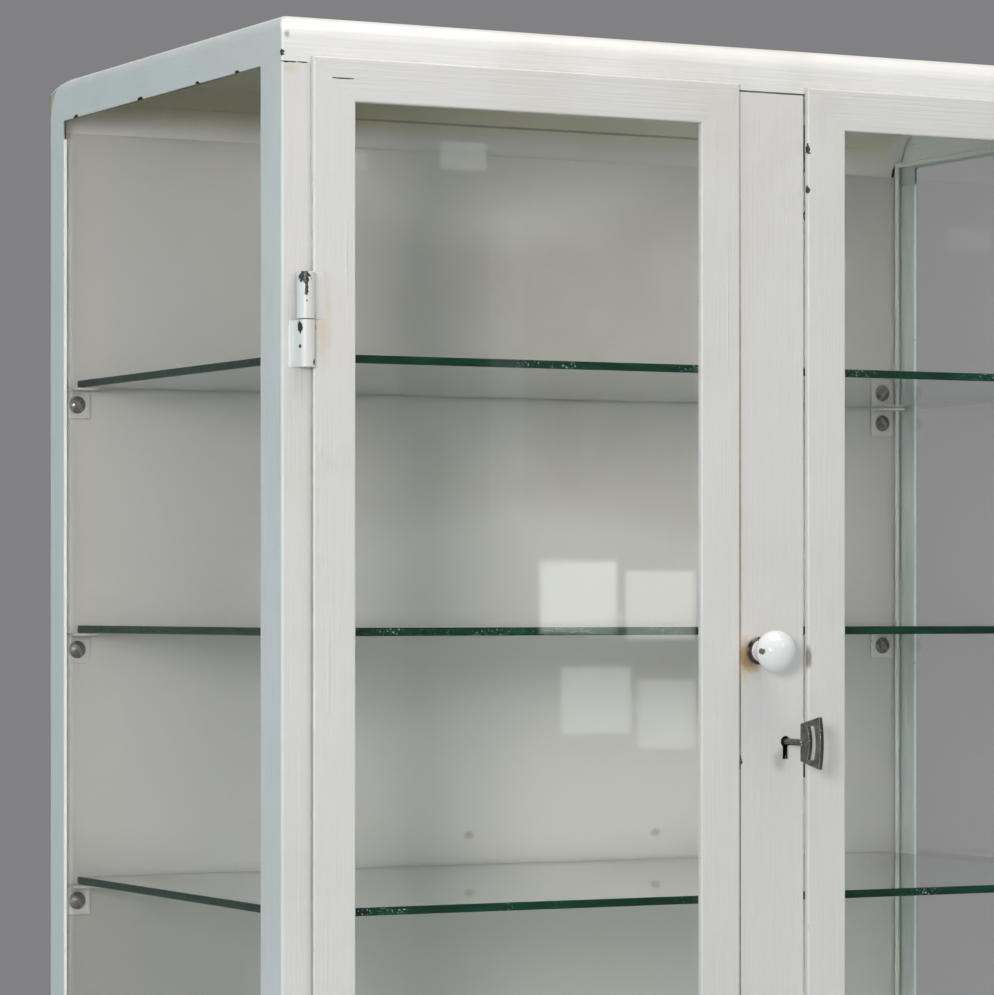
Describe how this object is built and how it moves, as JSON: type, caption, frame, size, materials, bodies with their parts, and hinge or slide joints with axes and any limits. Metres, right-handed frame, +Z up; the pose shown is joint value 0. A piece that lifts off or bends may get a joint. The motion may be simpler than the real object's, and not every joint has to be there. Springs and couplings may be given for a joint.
{
  "type": "medical cabinet",
  "caption": "Glazed medical cabinet on angle legs, with overlay glass doors on lift-off hinges, key lock, slide bolts and glass shelves.",
  "frame": {"origin": "on the floor, under the middle of the overall box, key included", "axes": "+Z up, +Y from the doors to the back wall, +X to the right as seen from the front"},
  "size_m": [0.8, 0.5, 1.5017],
  "materials": {
    "case_paint": "brushed-on white enamel, worn at the edges",
    "inner_paint": "white enamel, slightly yellowed",
    "bracket_paint": "painted steel angle with a bare round-head screw",
    "pane_glass": "clear window glass",
    "shelf_glass": "clear plate glass with green ground edges",
    "porcelain": "white glazed porcelain",
    "key_steel": "worn nickel-plated steel",
    "fitting_steel": "dark oxidised steel"
  },
  "bodies": {
    "case": {"roof_pan": "case_paint", "floor_pan": "case_paint", "front_left_post": "case_paint", "front_right_post": "case_paint", "back_left_post": "case_paint", "back_right_post": "case_paint", "back_panel": "inner_paint", "left_side_glass": "pane_glass", "right_side_glass": "pane_glass", "left_side_bead": "inner_paint", "right_side_bead": "inner_paint", "shelf_1": "shelf_glass", "shelf_2": "shelf_glass", "shelf_3": "shelf_glass", "shelf_4": "shelf_glass", "shelf_1_front_left_bracket": "bracket_paint", "shelf_1_front_right_bracket": "bracket_paint", "shelf_1_back_left_bracket": "bracket_paint", "shelf_1_back_right_bracket": "bracket_paint", "shelf_2_front_left_bracket": "bracket_paint", "shelf_2_front_right_bracket": "bracket_paint", "shelf_2_back_left_bracket": "bracket_paint", "shelf_2_back_right_bracket": "bracket_paint", "shelf_3_front_left_bracket": "bracket_paint", "shelf_3_front_right_bracket": "bracket_paint", "shelf_3_back_left_bracket": "bracket_paint", "shelf_3_back_right_bracket": "bracket_paint", "shelf_4_front_left_bracket": "bracket_paint", "shelf_4_front_right_bracket": "bracket_paint", "shelf_4_back_left_bracket": "bracket_paint", "shelf_4_back_right_bracket": "bracket_paint", "left_upper_hinge_post_leaf": "case_paint", "left_upper_hinge_pin": "fitting_steel", "left_lower_hinge_post_leaf": "case_paint", "left_lower_hinge_pin": "fitting_steel", "right_upper_hinge_post_leaf": "case_paint", "right_upper_hinge_pin": "fitting_steel", "right_lower_hinge_post_leaf": "case_paint", "right_lower_hinge_pin": "fitting_steel"},
    "left_door": {"left_upper_hinge_door_leaf": "case_paint", "left_lower_hinge_door_leaf": "case_paint", "left_door_frame": "case_paint", "left_door_glass": "pane_glass", "left_door_bead": "inner_paint", "lock_strip": "case_paint", "lock_case": "fitting_steel", "knob_rose": "fitting_steel", "door_knob": "porcelain"},
    "right_door": {"right_upper_hinge_door_leaf": "case_paint", "right_lower_hinge_door_leaf": "case_paint", "right_door_frame": "case_paint", "right_door_glass": "pane_glass", "right_door_bead": "inner_paint", "lock_staple": "fitting_steel", "upper_slide_guide": "fitting_steel", "lower_slide_guide": "fitting_steel"},
    "key": {"key": "key_steel"},
    "lock_bolt": {"lock_bolt": "key_steel"},
    "upper_slide_bolt": {"upper_slide_bolt": "key_steel"},
    "lower_slide_bolt": {"lower_slide_bolt": "key_steel"}
  },
  "joints": [
    {"name": "left_door_hinge", "type": "hinge", "parent": "case", "child": "left_door", "pos_m": [-0.3845, -0.2049, 0.98], "axis": [0, 0, -1], "range_deg": [0, 170]},
    {"name": "right_door_hinge", "type": "hinge", "parent": "case", "child": "right_door", "pos_m": [0.3845, -0.2049, 0.98], "axis": [0, 0, 1], "range_deg": [0, 170]},
    {"name": "key_turn", "type": "hinge", "parent": "left_door", "child": "key", "pos_m": [0.0129, -0.198, 0.9832], "axis": [0, -1, 0], "range_deg": [0, 90]},
    {"name": "lock_bolt_slide", "type": "slide", "parent": "left_door", "child": "lock_bolt", "axis": [1, 0, 0], "range_m": [0, 0.00701]},
    {"name": "upper_bolt_slide", "type": "slide", "parent": "right_door", "child": "upper_slide_bolt", "axis": [0, 0, 1], "range_m": [0, 0.014]},
    {"name": "lower_bolt_slide", "type": "slide", "parent": "right_door", "child": "lower_slide_bolt", "axis": [0, 0, -1], "range_m": [0, 0.014]}
  ],
  "couplings": [
    {"joint": "lock_bolt_slide", "follows": "key_turn", "m_per_rad": 0.0044563}
  ]
}
